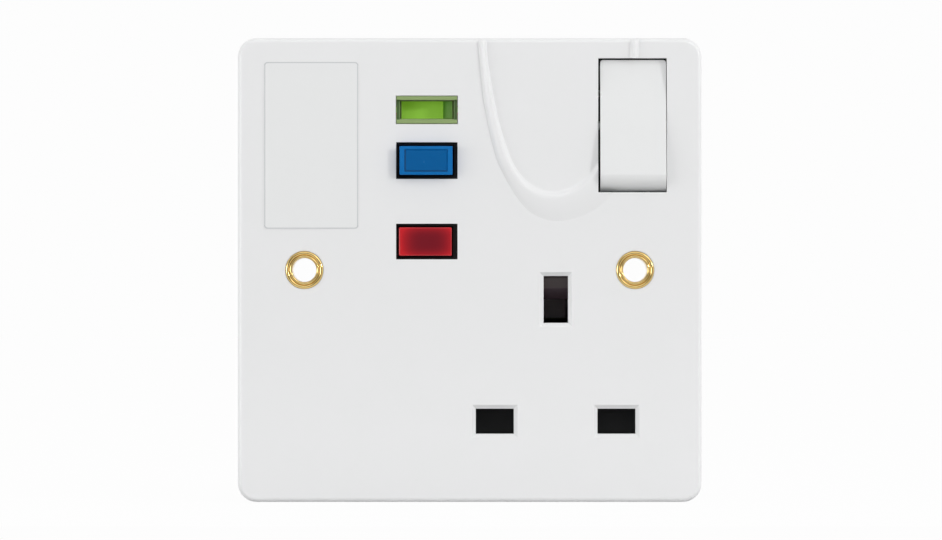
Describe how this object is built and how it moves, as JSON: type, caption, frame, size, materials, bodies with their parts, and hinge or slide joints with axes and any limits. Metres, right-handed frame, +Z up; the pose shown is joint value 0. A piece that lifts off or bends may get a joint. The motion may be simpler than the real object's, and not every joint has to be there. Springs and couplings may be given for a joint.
{
  "type": "residual current device socket",
  "caption": "Flush single switched mains socket with a built-in residual current device: rocker switch, reset and test buttons, indicator window and shuttered pin slots.",
  "frame": {"origin": "middle of the plate's rear rim, between the rear mouths of the two fixing holes, on the wall", "axes": "+X to the right seen from the front, +Z up, the front faces -Y and the housing goes back along +Y"},
  "size_m": [0.0846, 0.0355, 0.0846],
  "materials": {
    "white_urea": "glossy moulded urea",
    "brass": "bright stamped and turned",
    "label_film": "thin printed film",
    "clear_lens": "clear moulded polycarbonate",
    "green_flag": "moulded green",
    "blue_button": "moulded blue",
    "red_button": "moulded translucent red",
    "black_moulding": "moulded nylon",
    "shutter_brown": "moulded nylon",
    "housing_grey": "moulded phenolic",
    "plated_steel": "zinc plated",
    "spring_steel": "drawn wire",
    "contact_copper": "stamped phosphor bronze",
    "winding_wire": "enamelled copper wire",
    "ferrite": "coated strip wound core",
    "board_green": "glass epoxy laminate",
    "lead_sleeve": "insulated wire",
    "component_dark": "moulded component bodies",
    "component_blue": "dipped component bodies"
  },
  "bodies": {
    "socket": {"front_plate": "white_urea", "eyelet_left": "brass", "eyelet_right": "brass", "earth_strap": "brass", "live_terminal": "brass", "neutral_terminal": "brass", "earth_terminal_outer": "brass", "earth_terminal_inner": "brass", "indicator_label": "label_film", "indicator_lens": "clear_lens", "button_guide": "black_moulding", "switch_base": "black_moulding", "coil_bobbin": "black_moulding", "inner_carrier": "black_moulding", "rear_housing": "housing_grey", "housing_screws": "plated_steel", "terminal_screws": "plated_steel", "rocker_pin": "plated_steel", "latch_pin": "plated_steel", "coil_yoke": "plated_steel", "shutter_spring": "spring_steel", "trip_spring": "spring_steel", "reset_spring": "spring_steel", "test_spring": "spring_steel", "seesaw_posts": "contact_copper", "live_switch_contact": "contact_copper", "neutral_switch_contact": "contact_copper", "live_contact": "contact_copper", "neutral_contact": "contact_copper", "earth_contact": "contact_copper", "live_link": "contact_copper", "neutral_link": "contact_copper", "fixed_contacts": "contact_copper", "test_posts": "contact_copper", "coil_winding": "winding_wire", "toroid_winding": "winding_wire", "toroid_core": "ferrite", "circuit_board": "board_green", "live_lead": "lead_sleeve", "neutral_lead": "lead_sleeve", "control_chip": "component_dark", "bridge_rectifier": "component_dark", "smoothing_capacitor": "component_dark", "varistor": "component_blue", "resistors": "component_blue"},
    "rocker_unit": {"rocker": "white_urea", "rocker_plungers": "contact_copper", "plunger_springs": "spring_steel"},
    "live_seesaw": {"live_seesaw_contact": "contact_copper"},
    "neutral_seesaw": {"neutral_seesaw_contact": "contact_copper"},
    "reset_unit": {"reset_button": "blue_button"},
    "carrier_unit": {"contact_carrier": "black_moulding", "moving_contacts": "contact_copper"},
    "flag_unit": {"indicator_flag": "green_flag"},
    "test_unit": {"test_button": "red_button", "test_bridge": "contact_copper"},
    "shutter_unit": {"safety_shutter": "shutter_brown"},
    "trip_unit": {"trip_plunger": "plated_steel"},
    "latch_unit": {"latch_lever": "black_moulding"}
  },
  "joints": [
    {"name": "rocker_tilt", "type": "hinge", "parent": "socket", "child": "rocker_unit", "pos_m": [0.02968, -0.0063, 0.0264], "axis": [1, 0, 0], "range_deg": [0, 17]},
    {"name": "live_seesaw_tilt", "type": "hinge", "parent": "socket", "child": "live_seesaw", "pos_m": [0.0258, 0.00287, 0.0264], "axis": [1, 0, 0], "range_deg": [-20, 0]},
    {"name": "neutral_seesaw_tilt", "type": "hinge", "parent": "socket", "child": "neutral_seesaw", "pos_m": [0.03, 0.00287, 0.0264], "axis": [1, 0, 0], "range_deg": [-20, 0]},
    {"name": "reset_press", "type": "slide", "parent": "socket", "child": "reset_unit", "axis": [0, 1, 0], "range_m": [0, 0.0024], "stiffness_N_per_m": 150, "springref_m": -0.004},
    {"name": "carrier_travel", "type": "slide", "parent": "socket", "child": "carrier_unit", "axis": [0, 1, 0], "range_m": [0, 0.0024]},
    {"name": "flag_turn", "type": "hinge", "parent": "socket", "child": "flag_unit", "pos_m": [-0.00783, -0.0026, 0.0292], "axis": [1, 0, 0], "range_deg": [-50, 0]},
    {"name": "test_press", "type": "slide", "parent": "socket", "child": "test_unit", "axis": [0, 1, 0], "range_m": [0, 0.0016], "stiffness_N_per_m": 200, "springref_m": -0.003},
    {"name": "shutter_lift", "type": "slide", "parent": "socket", "child": "shutter_unit", "axis": [0, 0, 1], "range_m": [0, 0.0052], "stiffness_N_per_m": 60, "springref_m": -0.004, "deforming": ["shutter_spring"]},
    {"name": "trip_pull", "type": "slide", "parent": "socket", "child": "trip_unit", "axis": [0, 0, -1], "range_m": [0, 0.0015], "stiffness_N_per_m": 80, "springref_m": -0.003, "deforming": ["trip_spring"]},
    {"name": "latch_tip", "type": "hinge", "parent": "socket", "child": "latch_unit", "pos_m": [-0.0159, 0.008, 0.0269], "axis": [0, 1, 0], "range_deg": [-24, 0]}
  ],
  "couplings": [
    {"joint": "live_seesaw_tilt", "follows": "rocker_tilt", "ratio": -1.17},
    {"joint": "neutral_seesaw_tilt", "follows": "rocker_tilt", "ratio": -1.17},
    {"joint": "carrier_travel", "follows": "reset_press", "ratio": 1},
    {"joint": "flag_turn", "follows": "reset_press", "rad_per_m": -356.34},
    {"joint": "latch_tip", "follows": "trip_pull", "rad_per_m": -263.16}
  ]
}
